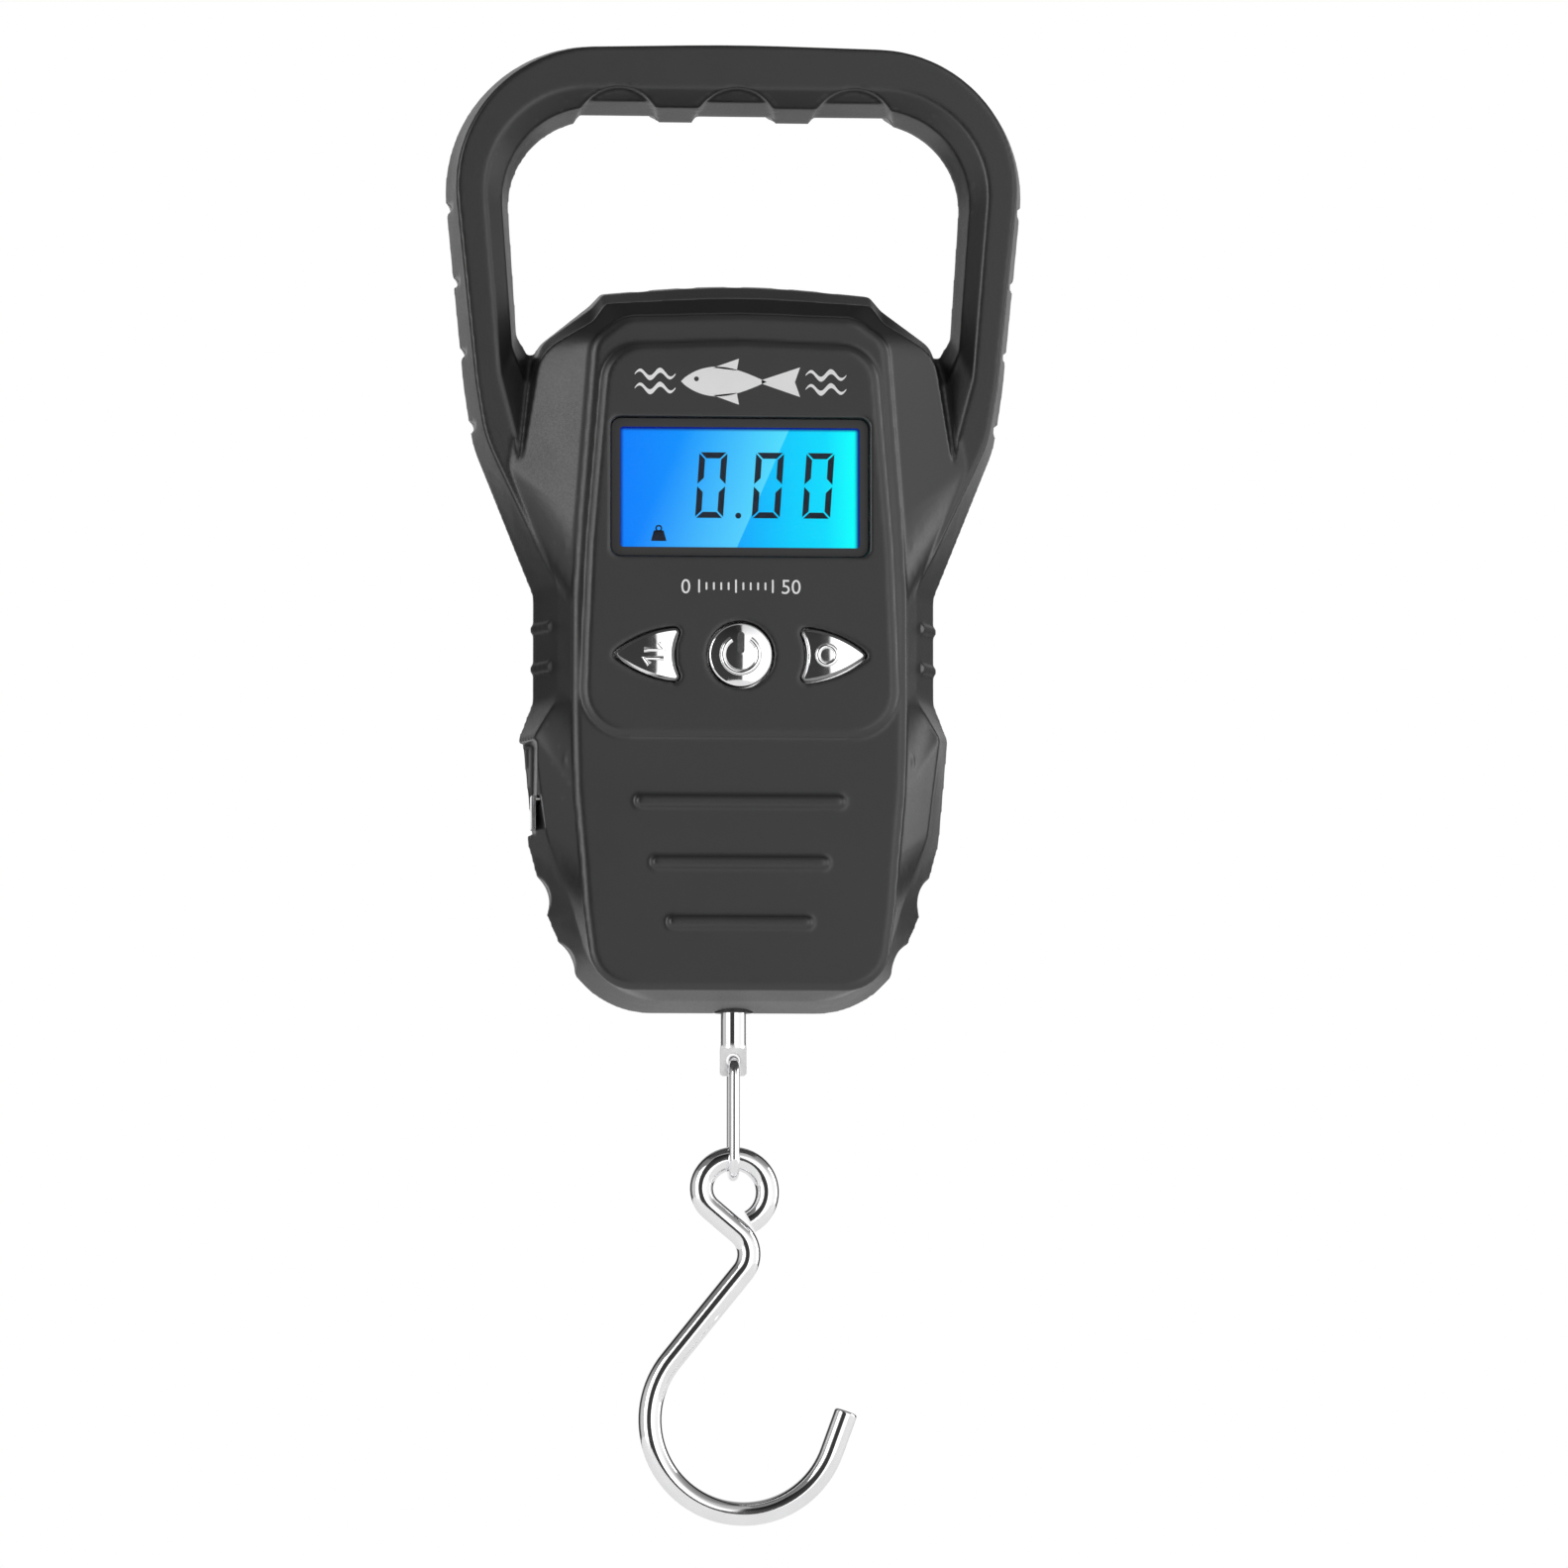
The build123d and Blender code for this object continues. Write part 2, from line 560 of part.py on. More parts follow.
# ------------------------------------------------------- load cell and hanger
with BuildPart() as load_cell:
    low = BEAM_HEIGHT - BEAM_SIZE[1] / 2
    end = BEAM_SIZE[0] / 2
    face = BEAM_SIZE[2] / 2
    add(block(-end, end, low, low + BEAM_SIZE[1], face, -face))
    for x, z in both_sides([(BEAM_SCREW_X, BEAM_HEIGHT)]):
        add(bar(x, z, SCREW_RADIUS + 0.1, 4, -4), mode=Mode.SUBTRACT)
    for x, z in both_sides([(6.2, BEAM_HEIGHT), (9.6, BEAM_HEIGHT)]):
        add(bar(x, z, 2.4, 4, -4), mode=Mode.SUBTRACT)
    with BuildSketch(level(low - 1)):
        Circle(ROD_RADIUS + 0.05)
    extrude(amount=BEAM_SIZE[1] + 2, mode=Mode.SUBTRACT)
save(load_cell, "load_cell")

with BuildPart() as load_cell_screws:
    for x, z in both_sides([(BEAM_SCREW_X, BEAM_HEIGHT)]):
        add(bar(x, z, SCREW_RADIUS, 8.5, -BEAM_SIZE[2] / 2))
        add(bar(x, z, SCREW_HEAD, -BEAM_SIZE[2] / 2, -BEAM_SIZE[2] / 2 - 1.4))
save(load_cell_screws, "load_cell_screws")

with BuildPart() as strain_gauges:
    for x, z in both_sides([(7.9, BEAM_HEIGHT)]):
        for low in (BEAM_HEIGHT - BEAM_SIZE[1] / 2 - 0.2, BEAM_HEIGHT + BEAM_SIZE[1] / 2):
            add(block(x - 2.5, x + 2.5, low, low + 0.2, 1.6, -1.6))
save(strain_gauges, "strain_gauges")


def washer(low, high, outer, inner):
    """Flat ring about the hanger's axis."""
    with BuildPart() as ring:
        with BuildSketch(level(low)):
            Circle(outer)
            Circle(inner, mode=Mode.SUBTRACT)
        extrude(amount=high - low)
    return ring.part


BEAM_TOP = BEAM_HEIGHT + BEAM_SIZE[1] / 2

with BuildPart() as thrust_washer:
    add(washer(BEAM_TOP, BEAM_TOP + 0.5, 3.4, ROD_RADIUS + 0.05))
save(thrust_washer, "thrust_washer")

with BuildPart() as hanger_bush:
    add(washer(0.1, BUSH_FLANGE, BUSH_RADIUS, ROD_RADIUS + 0.08))
    add(washer(BUSH_FLANGE, BUSH_FLANGE + 0.7, BUSH_RADIUS + 0.9, ROD_RADIUS + 0.08))
save(hanger_bush, "hanger_bush")

with BuildPart() as hanger:
    with BuildSketch(level(-5.0)):
        Circle(ROD_RADIUS)
    extrude(amount=BEAM_TOP + 3.2 + 5.0)
    side = EYE_THICKNESS / 2
    add(block(-ROD_RADIUS, ROD_RADIUS, TONGUE_END, -4.5, side, -side, 0.45))
    add(bar(0, EYE_HEIGHT, EYE_HOLE, 3, -3), mode=Mode.SUBTRACT)
save(hanger, "hanger")

with BuildPart() as hanger_nut:
    with BuildSketch(level(BEAM_TOP + 0.55)):
        RegularPolygon(3.1, 6, major_radius=True)
        Circle(ROD_RADIUS, mode=Mode.SUBTRACT)
    extrude(amount=2.3)
save(hanger_nut, "hanger_nut")

with BuildPart() as hook_link:
    top = LINK_TOP + LINK_BEND
    low = LINK_BOTTOM - LINK_BEND
    with BuildLine(SIDE):
        leg = Line((-LINK_BEND, LINK_TOP), (-LINK_BEND, LINK_BOTTOM))
        ThreePointArc((-LINK_BEND, LINK_BOTTOM), (0, low), (LINK_BEND, LINK_BOTTOM))
        Line((LINK_BEND, LINK_BOTTOM), (LINK_BEND, LINK_TOP))
        ThreePointArc((LINK_BEND, LINK_TOP), (0, top), (-LINK_BEND, LINK_TOP))
    with BuildSketch(Plane(origin=leg @ 0, z_dir=leg % 0)):
        Circle(LINK_WIRE)
    sweep()
save(hook_link, "hook_link")


def from_point(point, length, angle):
    """Point at a distance and an angle from another."""
    turn = math.radians(angle)
    return (point[0] + length * math.cos(turn), point[1] + length * math.sin(turn))


def meet(start, angle, end, end_angle):
    """Where the line that leaves start at an angle crosses the one through end."""
    turn = math.radians(angle)
    back = math.radians(end_angle)
    gap = (end[0] - start[0], end[1] - start[1])
    reach = (gap[0] * math.sin(back) - gap[1] * math.cos(back)) / math.sin(back - turn)
    return from_point(start, reach, angle)


with BuildPart() as hook:
    throat = from_point(HOOK_RING, HOOK_RING_RADIUS - HOOK_THROAT_RADIUS, HOOK_RING_BEND)
    ring_end = from_point(throat, HOOK_THROAT_RADIUS, HOOK_RING_END)
    bowl_start = from_point(HOOK_BOWL, HOOK_BOWL_RADIUS, HOOK_BOWL_START)
    bowl_end = from_point(HOOK_BOWL, HOOK_BOWL_RADIUS, HOOK_BOWL_END)
    neck = meet(ring_end, HOOK_RING_END + 90, bowl_start, HOOK_BOWL_START + 90)
    with BuildLine(CASE):
        ring_turn = HOOK_RING_BEND - HOOK_RING_START
        ring = CenterArc(HOOK_RING, HOOK_RING_RADIUS, HOOK_RING_START, ring_turn)
        CenterArc(throat, HOOK_THROAT_RADIUS, HOOK_RING_BEND, HOOK_RING_END - HOOK_RING_BEND)
        FilletPolyline(ring_end, neck, bowl_start, radius=HOOK_NECK_RADIUS)
        bowl_turn = HOOK_BOWL_END - HOOK_BOWL_START
        CenterArc(HOOK_BOWL, HOOK_BOWL_RADIUS, HOOK_BOWL_START, bowl_turn)
        Line(bowl_end, from_point(bowl_end, HOOK_TIP, HOOK_BOWL_END + 90))
    with BuildSketch(Plane(origin=ring @ 0, z_dir=ring % 0)):
        Circle(HOOK_WIRE)
    sweep()
    fillet(hook.edges().filter_by(GeomType.CIRCLE).sort_by(Axis.X)[-1], 0.4)
save(hook, "hook")


# ------------------------------------------------------------ the tape measure
def reel_disc(radius, front, back):
    """Disc or bar about the reel's axis."""
    return bar(REEL_X, REEL_HEIGHT, radius, front, back)


with BuildPart() as tape_reel:
    add(reel_disc(REEL_RADIUS, REEL_FRONT, REEL_FRONT - 0.6))
    add(reel_disc(REEL_RADIUS, REEL_BACK + 0.6, REEL_BACK))
    add(reel_disc(REEL_HUB, REEL_FRONT, REEL_BACK))
    add(reel_disc(REEL_CUP, REEL_FRONT - 0.8, REEL_BACK), mode=Mode.SUBTRACT)
    add(reel_disc(AXLE_RADIUS + 0.05, 12, 0), mode=Mode.SUBTRACT)
save(tape_reel, "tape_reel")

with BuildPart() as tape_coil:
    add(reel_disc(COIL_RADIUS, *BLADE_EDGES))
    add(reel_disc(REEL_HUB, 12, 0), mode=Mode.SUBTRACT)
save(tape_coil, "tape_coil")

with BuildPart() as reel_axle:
    add(reel_disc(AXLE_RADIUS, REEL_FRONT + 0.2, REEL_BACK - 0.2))
    add(reel_disc(SCREW_RADIUS, FRONT_CAVITY, REEL_FRONT + 0.2))
    add(reel_disc(6.6, REEL_BACK - 0.2, REEL_BACK - 0.9))
save(reel_axle, "reel_axle")


def half_turn(radius, middle, side):
    """Half a ring of spring strip, the unit of the spiral."""
    with BuildPart() as arc:
        with BuildSketch(CASE.offset(BLADE_EDGES[1] + 0.3)):
            with Locations((middle, REEL_HEIGHT)):
                Circle(radius + SPIRAL_STRIP / 2)
                Circle(radius - SPIRAL_STRIP / 2, mode=Mode.SUBTRACT)
            with Locations((middle, REEL_HEIGHT - side * 10)):
                Rectangle(30, 20, mode=Mode.SUBTRACT)
        extrude(amount=BLADE_EDGES[0] - BLADE_EDGES[1] - 0.8)
    return arc.part


with BuildPart() as reel_spring:
    for turn in range(SPIRAL_HALF_TURNS):
        side = 1 if turn % 2 else -1
        add(half_turn(2.4 + turn * SPIRAL_PITCH / 2, REEL_X + side * SPIRAL_PITCH / 4, side))
save(reel_spring, "reel_spring")

with BuildPart() as tape_blade:
    add(block(-POCKET_X - 0.1, 21.0, BLADE_HEIGHT, BLADE_HEIGHT + BLADE_THICKNESS, *BLADE_EDGES))
save(tape_blade, "tape_blade")

with BuildPart() as tape_tab:
    add(block(-POCKET_X - 0.7, -POCKET_X - 0.1, 25.9, 30.7, BLADE_EDGES[0] + 0.3, BLADE_EDGES[1] - 0.3))
save(tape_tab, "tape_tab")
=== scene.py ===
"""Digital fish scale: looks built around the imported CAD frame.

Metres, +Z up, +Y to the back, as in the frame. Every CAD node gets a procedural
finish, and the script adds the printed marks, the display's figures, the raised
signs on the keys, a plain studio and the camera.
"""
import json
import math

import bmesh
import bpy
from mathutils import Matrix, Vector


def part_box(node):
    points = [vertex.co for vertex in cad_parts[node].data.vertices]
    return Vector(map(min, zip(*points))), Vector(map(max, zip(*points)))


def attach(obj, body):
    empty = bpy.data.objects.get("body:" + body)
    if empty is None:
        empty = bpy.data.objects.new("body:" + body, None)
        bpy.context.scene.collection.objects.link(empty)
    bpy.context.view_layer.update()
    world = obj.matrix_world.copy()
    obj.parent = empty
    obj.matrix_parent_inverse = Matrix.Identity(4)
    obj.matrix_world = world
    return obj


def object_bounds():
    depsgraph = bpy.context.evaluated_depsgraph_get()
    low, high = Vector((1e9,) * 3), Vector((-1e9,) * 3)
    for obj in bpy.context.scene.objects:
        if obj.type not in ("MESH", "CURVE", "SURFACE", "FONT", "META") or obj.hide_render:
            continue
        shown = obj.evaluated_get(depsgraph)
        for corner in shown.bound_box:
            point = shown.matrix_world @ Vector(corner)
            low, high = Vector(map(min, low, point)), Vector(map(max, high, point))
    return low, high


MM = 0.001
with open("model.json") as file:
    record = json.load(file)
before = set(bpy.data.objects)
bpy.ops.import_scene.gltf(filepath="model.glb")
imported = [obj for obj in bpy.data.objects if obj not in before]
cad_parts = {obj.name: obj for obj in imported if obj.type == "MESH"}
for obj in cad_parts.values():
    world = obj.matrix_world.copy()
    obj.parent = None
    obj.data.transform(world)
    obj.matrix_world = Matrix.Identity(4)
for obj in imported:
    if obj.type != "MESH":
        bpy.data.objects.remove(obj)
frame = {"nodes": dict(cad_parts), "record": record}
cad_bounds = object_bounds()
scene = bpy.context.scene

# ----------------------------------------------------------------- dimensions
# Mouldings and rod
WELD_GAP = 0.001 * MM
CASE_VOXEL = 0.30 * MM
CASE_ROUNDING = 3  # smoothing passes over the case's edges
HANGER_EDGE = 0.3 * MM
FLATTENED = 4.4 * MM  # height of the hanger's flattened end

# Display
LIT_SIZE = (34.2 * MM, 17.2 * MM)
LIT_CORNER = 0.5 * MM
BORDER_SIZE = (36.6 * MM, 19.6 * MM)
BORDER_CORNER = 1.3 * MM
GLOW_STRENGTH = 1.05
GLARE_SLOPE = 0.44  # slant of the painted glare band's edge across the display
GLARE_SHIFT = 3.4 * MM
GLARE_WIDTH = 15 * MM
DIGIT_SIZE = (4.0 * MM, 9.4 * MM)
DIGIT_STROKE = 0.86 * MM
DIGIT_GAP = 0.16 * MM
DIGIT_SLANT = 0.07
DIGIT_CENTRES = (-4.0 * MM, 4.1 * MM, 11.3 * MM)
DIGIT_RISE = 0.45 * MM
POINT_PLACE = (-0.15 * MM, -3.9 * MM)
POINT_RADIUS = 0.42 * MM
WEIGHT_PLACE = (-11.5 * MM, -6.6 * MM)

# Printed marks
PRINT_DEPTH = 0.05 * MM  # how far printed marks stand out
MARK_RISE = 15.0 * MM  # fish and waves above the middle of the display
FISH_LENGTH = 17 * MM
EYE_PLACE = (-6.3 * MM, 0.35 * MM)
EYE_RADIUS = 0.34 * MM
WAVE_SIZE = (5.8 * MM, 0.55 * MM, 0.75 * MM)  # length, rise and thickness
WAVE_X = 12.2 * MM
WAVE_Z = 1.0 * MM
RANGE_RISE = 9.8 * MM  # range line above the keys
FIGURE_HEIGHT = 2.1 * MM
FIGURES = (("range_zero", "0", -7.8 * MM), ("range_full", "50", 7.2 * MM))
TICKS = 11
TICK_START = -5.9 * MM
TICK_PITCH = 1.05 * MM
TICK_WIDTH = 0.26 * MM
LONG_TICK = 0.95 * MM  # half height of every fifth tick
SHORT_TICK = 0.55 * MM
CAP_SHARE = 0.72  # cap height of the built-in font as a share of its size

# Signs on the keys
LEGEND_RADIUS = 0.45 * MM
POWER_ARC = (2.55 * MM, 122, 418)  # radius, and first and last angle
ARROWS_X = -12.4 * MM
RING_X = 12.3 * MM
RING_RADIUS = 1.3 * MM


# --------------------------------------------------------------- shader nodes
class Tree:
    """Short calls for making and linking the nodes of a material or a world."""

    def __init__(self, owner):
        owner.use_nodes = True
        self.nodes = owner.node_tree.nodes
        self.links = owner.node_tree.links

    def feed(self, socket, value):
        """Link a socket or set its value."""
        if isinstance(value, bpy.types.NodeSocket):
            self.links.new(value, socket)
        elif value is not None:
            socket.default_value = value

    def node(self, kind, *inputs, **settings):
        """Add a node, set its properties and feed its inputs in order."""
        made = self.nodes.new(kind)
        for name, value in settings.items():
            setattr(made, name, value)
        for socket, value in zip(made.inputs, inputs):
            self.feed(socket, value)
        return made

    def math(self, operation, a, b=None):
        return self.node("ShaderNodeMath", a, b, operation=operation).outputs[0]

    def remap(self, value, low, high, to_low, to_high, kind="LINEAR"):
        ranged = self.node("ShaderNodeMapRange", value, low, high, to_low, to_high, interpolation_type=kind)
        return ranged.outputs[0]

    def noise(self, vector, size, detail=2.0):
        """Noise whose features have about the given size in metres."""
        made = self.node("ShaderNodeTexNoise", vector)
        made.inputs["Scale"].default_value = 1 / size
        made.inputs["Detail"].default_value = detail
        return made.outputs[0]

    def mix(self, share, a, b):
        """Blend of two colours."""
        made = self.node("ShaderNodeMix", data_type="RGBA")
        for place, value in ((0, share), (6, a), (7, b)):
            self.feed(made.inputs[place], value)
        return made.outputs[2]

    def ramp(self, value, stops):
        """Colour ramp through (position, colour) stops."""
        made = self.node("ShaderNodeValToRGB", value)
        elements = made.color_ramp.elements
        elements[0].position, elements[0].color = stops[0][0], opaque(stops[0][1])
        elements[1].position, elements[1].color = stops[-1][0], opaque(stops[-1][1])
        for position, colour in stops[1:-1]:
            elements.new(position).color = opaque(colour)
        return made.outputs[0]


def opaque(colour):
    return (*colour, 1.0)


def scaled(colour, share):
    return tuple(min(1.0, c * share) for c in colour)


def grey(value):
    return (value, value, value)


# ------------------------------------------------------------------ materials
def finish(
    name, colour, rough=(0.4, 0.55), metallic=0.0, blotch=6 * MM, vary=0.1, grain=0.3 * MM,
    relief=0.1, depth=0.02 * MM, stretch=(1, 1, 1), wear=None, **sockets
):
    """Procedural surface: patches of tone, grain in gloss and relief, and worn edges.

    stretch squeezes the grain along an axis, as brushing does; wear is the tone
    that edges are rubbed to. Other keywords are the shader's own constant sockets.
    """
    material = bpy.data.materials.new(name)
    tree = Tree(material)
    shader = tree.nodes["Principled BSDF"]
    point = tree.node("ShaderNodeTexCoord").outputs["Object"]
    drawn = tree.node("ShaderNodeVectorMath", point, stretch, operation="MULTIPLY").outputs[0]
    patches = tree.noise(point, blotch, 3)
    grains = tree.noise(drawn, grain, 3)
    tone = tree.mix(patches, opaque(scaled(colour, 1 - vary)), opaque(scaled(colour, 1 + vary)))
    if wear:
        edge = tree.node("ShaderNodeNewGeometry").outputs["Pointiness"]
        rubbed = tree.remap(edge, 0.53, 0.62, 0.0, 0.6)
        broken = tree.math("MULTIPLY", rubbed, tree.remap(patches, 0.3, 0.7, 0.4, 1.0))
        tone = tree.mix(broken, tone, opaque(wear))
    tree.feed(shader.inputs["Base Color"], tone)
    both = tree.math("ADD", tree.math("MULTIPLY", grains, 0.6), tree.math("MULTIPLY", patches, 0.4))
    tree.feed(shader.inputs["Roughness"], tree.remap(both, 0.3, 0.7, *rough))
    bump = tree.node("ShaderNodeBump")
    bump.inputs["Strength"].default_value = relief
    bump.inputs["Distance"].default_value = depth
    tree.feed(bump.inputs["Height"], grains)
    tree.feed(shader.inputs["Normal"], bump.outputs[0])
    shader.inputs["Metallic"].default_value = metallic
    for socket, value in sockets.items():
        shader.inputs[socket.replace("_", " ")].default_value = value
    return material


def shader_of(material):
    """The tree and the main shader of a material made by finish."""
    tree = Tree(material)
    return tree, tree.nodes["Principled BSDF"], tree.node("ShaderNodeTexCoord").outputs["Object"]


def display_glow():
    """Backlit display: blue to cyan across, with a painted glare band and painted shade along the edges."""
    material = finish("lcd_glow", grey(0.002), rough=(0.25, 0.3), relief=0.0, Specular_IOR_Level=0.05)
    tree, shader, point = shader_of(material)
    centre = middle("lcd_panel")
    local = tree.node("ShaderNodeVectorMath", point, centre, operation="SUBTRACT").outputs[0]
    x, _, z = tree.node("ShaderNodeSeparateXYZ", local).outputs
    half_x, half_z = LIT_SIZE[0] / 2, LIT_SIZE[1] / 2
    across = tree.remap(x, -half_x, half_x, 0.0, 1.0)
    glow = tree.ramp(across, [
        (0.0, (0.001, 0.215, 1.0)), (0.25, (0.002, 0.285, 1.0)), (0.5, (0.004, 0.40, 1.0)),
        (0.72, (0.001, 0.62, 1.0)), (0.86, (0.001, 0.72, 1.0)), (0.97, (0.001, 1.0, 1.0)),
    ])
    # Painted glare: a whiter band left of a slanted edge, laid into the display's emission.
    slanted = tree.math("SUBTRACT", x, tree.math("MULTIPLY", z, GLARE_SLOPE))
    past = tree.math("SUBTRACT", slanted, GLARE_SHIFT)
    painted_glare = tree.remap(past, -GLARE_WIDTH, 0.0, 0.0, 0.40)
    inside = tree.math("LESS_THAN", past, 0.0)
    glow = tree.mix(tree.math("MULTIPLY", painted_glare, inside), glow, opaque((0.21, 0.97, 1.0)))
    # Painted shade: the glow darkens to deep blue along the left, right and top edges, and partly along the
    # bottom.
    side = tree.remap(tree.math("ABSOLUTE", x), half_x - 0.75 * MM, half_x, 1.0, 0.0, "SMOOTHSTEP")
    top = tree.remap(z, half_z - 0.55 * MM, half_z, 1.0, 0.0, "SMOOTHSTEP")
    low = tree.remap(z, -half_z, 0.3 * MM - half_z, 0.4, 1.0, "SMOOTHSTEP")
    lit = tree.math("MULTIPLY", tree.math("MULTIPLY", side, top), low)
    tree.feed(shader.inputs["Emission Color"], tree.mix(lit, opaque((0.0, 0.012, 0.25)), glow))
    shader.inputs["Emission Strength"].default_value = GLOW_STRENGTH
    return material


def banded(name, base, bands, axis, **sockets):
    """Surface whose tone changes in steps along an axis: a cell's printed sleeve."""
    material = finish(name, base, **sockets)
    tree, shader, point = shader_of(material)
    place = tree.node("ShaderNodeSeparateXYZ", point).outputs[axis]
    tone = shader.inputs["Base Color"].links[0].from_socket
    for low, high, colour in bands:
        above = tree.math("GREATER_THAN", place, low)
        below = tree.math("LESS_THAN", place, high)
        tone = tree.mix(tree.math("MULTIPLY", above, below), tone, opaque(colour))
    tree.feed(shader.inputs["Base Color"], tone)
    return material


def ruled_tape():
    """White tape with black division lines every millimetre and every centimetre."""
    material = finish("tape_face", (0.78, 0.78, 0.75), rough=(0.25, 0.4), vary=0.06, relief=0.03)
    tree, shader, point = shader_of(material)
    x, y, _ = tree.node("ShaderNodeSeparateXYZ", point).outputs
    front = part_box("tape_blade")[0].y
    depth = tree.math("SUBTRACT", y, front)
    tone = shader.inputs["Base Color"].links[0].from_socket
    for step, width, length in ((1 * MM, 0.16 * MM, 1.4 * MM), (10 * MM, 0.3 * MM, 3.2 * MM)):
        place = tree.math("PINGPONG", x, step / 2)
        line = tree.math("LESS_THAN", place, width / 2)
        mark = tree.math("MULTIPLY", line, tree.math("LESS_THAN", depth, length))
        tone = tree.mix(mark, tone, opaque(grey(0.012)))
    tree.feed(shader.inputs["Base Color"], tone)
    return material


def middle(node):
    """Centre of a CAD node's box."""
    low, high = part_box(node)
    return (low + high) / 2


def flattened_steel(steel):
    """Plated rod whose flattened end has a satin surface."""
    material = finish(
        "hanger_steel", (0.92, 0.92, 0.93), relief=0.02, depth=0.01 * MM, wear=grey(0.95), **steel,
    )
    tree, shader, point = shader_of(material)
    z = tree.node("ShaderNodeSeparateXYZ", point).outputs[2]
    flat_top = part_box("hanger")[0].z + FLATTENED
    satin = tree.remap(z, flat_top - 0.5 * MM, flat_top + 0.5 * MM, 0.42, 0.07, "SMOOTHSTEP")
    patches = tree.remap(tree.noise(point, 1.2 * MM, 3), 0.3, 0.7, 0.85, 1.15)
    tree.feed(shader.inputs["Roughness"], tree.math("MULTIPLY", satin, patches))
    return material


def make_materials():
    """One finish for each of the record's material slots, and for the printed marks."""
    steel = dict(metallic=1.0, vary=0.06, blotch=4 * MM)
    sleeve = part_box("cell_left")[0].z + 6 * MM
    return {
        "case_plastic": finish(
            "case_plastic", grey(0.010), rough=(0.30, 0.44), vary=0.10, grain=0.28 * MM,
            relief=0.22, depth=0.03 * MM, wear=grey(0.03), blotch=9 * MM, Specular_IOR_Level=0.8,
        ),
        "window": finish(
            "window", grey(1.0), rough=(0.0, 0.03), vary=0.0, relief=0.0, Transmission_Weight=1.0, IOR=1.49,
            Specular_IOR_Level=0.05,
        ),
        "lcd": display_glow(),
        "diffuser": finish("diffuser", (0.80, 0.84, 0.86), rough=(0.2, 0.35), Subsurface_Weight=0.2),
        "elastomer": finish(
            "elastomer", (0.45, 0.30, 0.36), stretch=(1, 0.1, 0.1), vary=0.3, blotch=0.5 * MM,
        ),
        "board": finish("board", (0.010, 0.110, 0.040), rough=(0.25, 0.4), vary=0.25, blotch=2 * MM),
        "chip": finish("chip", grey(0.012), rough=(0.3, 0.5)),
        "switch": finish("switch", grey(0.03), rough=(0.3, 0.45)),
        "chrome_key": finish(
            "chrome_key", (0.90, 0.90, 0.91), rough=(0.03, 0.09), metallic=1.0, vary=0.03,
            grain=0.5 * MM, relief=0.02, depth=0.01 * MM, wear=grey(0.97), blotch=2 * MM,
        ),
        "screw_steel": finish("screw_steel", grey(0.42), rough=(0.25, 0.42), wear=grey(0.7), **steel),
        "beam": finish(
            "beam", (0.72, 0.73, 0.75), rough=(0.3, 0.45), stretch=(0.1, 1, 1), wear=grey(0.9), **steel,
        ),
        "gauge": finish("gauge", (0.60, 0.32, 0.08), rough=(0.25, 0.4), stretch=(1, 8, 1), vary=0.3),
        "cell": banded(
            "cell_sleeve", (0.16, 0.17, 0.18), [(sleeve, sleeve + 12 * MM, (0.02, 0.16, 0.30))], 2,
            rough=(0.25, 0.4), metallic=0.6, vary=0.08,
        ),
        "contact": finish("contact", (0.72, 0.69, 0.63), rough=(0.2, 0.35), **steel),
        "hook_steel": finish(
            "hook_steel", (0.92, 0.92, 0.93), rough=(0.04, 0.10), grain=0.35 * MM, relief=0.02,
            depth=0.01 * MM, wear=grey(0.95), **steel,
        ),
        "hanger_steel": flattened_steel(steel),
        "bush": finish("bush", grey(0.03), rough=(0.4, 0.6)),
        "reel": finish("reel", (0.62, 0.62, 0.59), rough=(0.35, 0.5), wear=grey(0.8)),
        "blade": ruled_tape(),
        "tab": finish("tab", (0.86, 0.86, 0.88), rough=(0.08, 0.2), stretch=(1, 1, 0.1), **steel),
        "spring": finish("spring", (0.20, 0.23, 0.32), rough=(0.2, 0.35), stretch=(1, 0.1, 1), **steel),
        "print": finish("print", grey(0.80), rough=(0.45, 0.6), vary=0.05, grain=0.12 * MM, relief=0.08),
        "segment": finish("segment", (0.0, 0.010, 0.035), rough=(0.5, 0.6), vary=0.2, relief=0.0),
        "border": finish("border", grey(0.030), rough=(0.35, 0.5), vary=0.1),
    }


materials = make_materials()


# ------------------------------------------------------------------ CAD nodes
def join_faces(node):
    """Join a node's faces along their shared edges, for the modifiers that follow."""
    weld = node.modifiers.new("weld", "WELD")
    weld.merge_threshold = WELD_GAP


def smooth_case(node):
    """Round a moulding's edges and blend its facets, as moulded plastic is."""
    join_faces(node)
    remesh = node.modifiers.new("remesh", "REMESH")
    remesh.mode = "VOXEL"
    remesh.voxel_size = CASE_VOXEL
    remesh.use_smooth_shade = True
    smooth = node.modifiers.new("smooth", "SMOOTH")
    smooth.factor = 0.5
    smooth.iterations = CASE_ROUNDING


def round_hanger(node):
    """Give the hanger its own finish and break its sharp edges."""
    node.data.materials[0] = materials["hanger_steel"]
    join_faces(node)
    bevel = node.modifiers.new("bevel", "BEVEL")
    bevel.width = HANGER_EDGE
    bevel.segments = 3


def dress_nodes():
    """Give each CAD node the finish of its material slot, and soften the edges of some."""
    for part in frame["record"]["subparts"]:
        node = frame["nodes"][part["node"]]
        node.data.materials.clear()
        node.data.materials.append(materials[part["material_slot"]])
    for name in ("front_case", "back_case", "battery_door"):
        smooth_case(frame["nodes"][name])
    round_hanger(frame["nodes"]["hanger"])


dress_nodes()


# ------------------------------------------------------------- making pieces
def add_piece(name, data, finish_name, body):
    """Put a mesh or curve in the scene as a piece that rides on a body."""
    piece = bpy.data.objects.new(name, data)
    scene.collection.objects.link(piece)
    data.materials.append(materials[finish_name])
    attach(piece, body)


